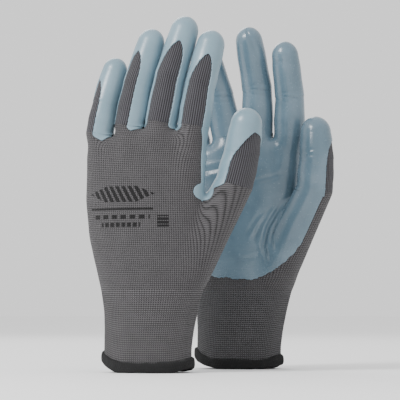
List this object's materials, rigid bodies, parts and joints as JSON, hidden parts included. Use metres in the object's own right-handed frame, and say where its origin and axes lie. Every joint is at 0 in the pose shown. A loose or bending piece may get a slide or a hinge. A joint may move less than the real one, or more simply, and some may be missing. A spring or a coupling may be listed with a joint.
{
  "type": "pair of coated work gloves",
  "caption": "Pair of knitted work gloves with rubber-coated palms and fingertips, ribbed elastic cuffs and bound hems, standing upright as if worn.",
  "frame": {"origin": "under the middle of the pair's bounding box, on the plane the hems stand on", "axes": "+Z towards the fingertips, +X towards the thumbs, -Y the side the left glove's back faces"},
  "size_m": [0.1786, 0.1372, 0.2517],
  "materials": {
    "knit": "fine grey knit",
    "knit_rib": "ribbed grey knit",
    "coating": "smooth blue-grey dipped rubber",
    "elastic": "covered elastic yarn",
    "hem": "black overlocked edge"
  },
  "bodies": {
    "left_hand": {"left_cuff": "knit_rib", "left_elastic": "elastic", "left_hem": "hem", "left_hand_liner": "knit", "left_palm_coating": "coating"},
    "left_thumb_base": {"left_thumb_base_liner": "knit", "left_thumb_base_coating": "coating"},
    "left_thumb_tip": {"left_thumb_tip_liner": "knit", "left_thumb_tip_coating": "coating"},
    "left_index_base": {"left_index_base_liner": "knit", "left_index_base_coating": "coating"},
    "left_index_tip": {"left_index_tip_liner": "knit", "left_index_tip_coating": "coating"},
    "left_middle_base": {"left_middle_base_liner": "knit", "left_middle_base_coating": "coating"},
    "left_middle_tip": {"left_middle_tip_liner": "knit", "left_middle_tip_coating": "coating"},
    "left_ring_base": {"left_ring_base_liner": "knit", "left_ring_base_coating": "coating"},
    "left_ring_tip": {"left_ring_tip_liner": "knit", "left_ring_tip_coating": "coating"},
    "left_little_base": {"left_little_base_liner": "knit", "left_little_base_coating": "coating"},
    "left_little_tip": {"left_little_tip_liner": "knit", "left_little_tip_coating": "coating"},
    "right_hand": {"right_cuff": "knit_rib", "right_elastic": "elastic", "right_hem": "hem", "right_hand_liner": "knit", "right_palm_coating": "coating"},
    "right_thumb_base": {"right_thumb_base_liner": "knit", "right_thumb_base_coating": "coating"},
    "right_thumb_tip": {"right_thumb_tip_liner": "knit", "right_thumb_tip_coating": "coating"},
    "right_index_base": {"right_index_base_liner": "knit", "right_index_base_coating": "coating"},
    "right_index_tip": {"right_index_tip_liner": "knit", "right_index_tip_coating": "coating"},
    "right_middle_base": {"right_middle_base_liner": "knit", "right_middle_base_coating": "coating"},
    "right_middle_tip": {"right_middle_tip_liner": "knit", "right_middle_tip_coating": "coating"},
    "right_ring_base": {"right_ring_base_liner": "knit", "right_ring_base_coating": "coating"},
    "right_ring_tip": {"right_ring_tip_liner": "knit", "right_ring_tip_coating": "coating"},
    "right_little_base": {"right_little_base_liner": "knit", "right_little_base_coating": "coating"},
    "right_little_tip": {"right_little_tip_liner": "knit", "right_little_tip_coating": "coating"}
  },
  "joints": [
    {"name": "left_glove_lift", "type": "slide", "parent": "right_hand", "child": "left_hand", "axis": [0, 0, 1], "range_m": [0, 0.26]},
    {"name": "left_thumb_root_bend", "type": "hinge", "parent": "left_hand", "child": "left_thumb_base", "pos_m": [0.01581, -0.05187, 0.131], "axis": [0.965, 0.0929, -0.2453], "range_deg": [-30, 8]},
    {"name": "left_thumb_middle_bend", "type": "hinge", "parent": "left_thumb_base", "child": "left_thumb_tip", "pos_m": [0.02137, -0.05158, 0.153], "axis": [0.9784, 0.0942, -0.184], "range_deg": [-45, 5]},
    {"name": "left_index_root_bend", "type": "hinge", "parent": "left_hand", "child": "left_index_base", "pos_m": [-0.01263, -0.05525, 0.172], "axis": [-0.9353, 0.3039, 0.1812], "range_deg": [-10, 55]},
    {"name": "left_index_middle_bend", "type": "hinge", "parent": "left_index_base", "child": "left_index_tip", "pos_m": [-0.00823, -0.05411, 0.19963], "axis": [-0.9353, 0.3039, 0.1812], "range_deg": [-5, 65]},
    {"name": "left_middle_root_bend", "type": "hinge", "parent": "left_hand", "child": "left_middle_base", "pos_m": [-0.03536, -0.04787, 0.175], "axis": [-0.9353, 0.3039, 0.1812], "range_deg": [-10, 55]},
    {"name": "left_middle_middle_bend", "type": "hinge", "parent": "left_middle_base", "child": "left_middle_tip", "pos_m": [-0.02943, -0.04695, 0.20541], "axis": [-0.9353, 0.3039, 0.1812], "range_deg": [-5, 65]},
    {"name": "left_ring_root_bend", "type": "hinge", "parent": "left_hand", "child": "left_ring_base", "pos_m": [-0.0579, -0.04054, 0.173], "axis": [-0.9353, 0.3039, 0.1812], "range_deg": [-10, 55]},
    {"name": "left_ring_middle_bend", "type": "hinge", "parent": "left_ring_base", "child": "left_ring_tip", "pos_m": [-0.0523, -0.03975, 0.20093], "axis": [-0.9353, 0.3039, 0.1812], "range_deg": [-5, 65]},
    {"name": "left_little_root_bend", "type": "hinge", "parent": "left_hand", "child": "left_little_base", "pos_m": [-0.07949, -0.03353, 0.168], "axis": [-0.9353, 0.3039, 0.1812], "range_deg": [-10, 55]},
    {"name": "left_little_middle_bend", "type": "hinge", "parent": "left_little_base", "child": "left_little_tip", "pos_m": [-0.07541, -0.03288, 0.1891], "axis": [-0.9353, 0.3039, 0.1812], "range_deg": [-5, 65]},
    {"name": "right_thumb_root_bend", "type": "hinge", "parent": "right_hand", "child": "right_thumb_base", "pos_m": [0.07559, 0.01695, 0.131], "axis": [-0.7744, 0.616, 0.1445], "range_deg": [-30, 8]},
    {"name": "right_thumb_middle_bend", "type": "hinge", "parent": "right_thumb_base", "child": "right_thumb_tip", "pos_m": [0.07694, 0.01348, 0.153], "axis": [-0.7823, 0.6222, 0.0288], "range_deg": [-45, 5]},
    {"name": "right_index_root_bend", "type": "hinge", "parent": "right_hand", "child": "right_index_base", "pos_m": [0.05761, 0.03522, 0.172], "axis": [0.9557, -0.2561, 0.1452], "range_deg": [-10, 55]},
    {"name": "right_index_middle_bend", "type": "hinge", "parent": "right_index_base", "child": "right_index_tip", "pos_m": [0.05792, 0.03262, 0.19988], "axis": [0.9557, -0.2561, 0.1452], "range_deg": [-5, 65]},
    {"name": "right_middle_root_bend", "type": "hinge", "parent": "right_hand", "child": "right_middle_base", "pos_m": [0.03453, 0.04141, 0.175], "axis": [0.9557, -0.2561, 0.1452], "range_deg": [-10, 55]},
    {"name": "right_middle_middle_bend", "type": "hinge", "parent": "right_middle_base", "child": "right_middle_tip", "pos_m": [0.03409, 0.03873, 0.20588], "axis": [0.9557, -0.2561, 0.1452], "range_deg": [-5, 65]},
    {"name": "right_ring_root_bend", "type": "hinge", "parent": "right_hand", "child": "right_ring_base", "pos_m": [0.01163, 0.04754, 0.173], "axis": [0.9557, -0.2561, 0.1452], "range_deg": [-10, 55]},
    {"name": "right_ring_middle_bend", "type": "hinge", "parent": "right_ring_base", "child": "right_ring_tip", "pos_m": [0.00656, 0.04633, 0.20102], "axis": [0.9557, -0.2561, 0.1452], "range_deg": [-5, 65]},
    {"name": "right_little_root_bend", "type": "hinge", "parent": "right_hand", "child": "right_little_base", "pos_m": [-0.01029, 0.05342, 0.168], "axis": [0.9557, -0.2561, 0.1452], "range_deg": [-10, 55]},
    {"name": "right_little_middle_bend", "type": "hinge", "parent": "right_little_base", "child": "right_little_tip", "pos_m": [-0.01683, 0.05323, 0.18848], "axis": [0.9557, -0.2561, 0.1452], "range_deg": [-5, 65]}
  ]
}
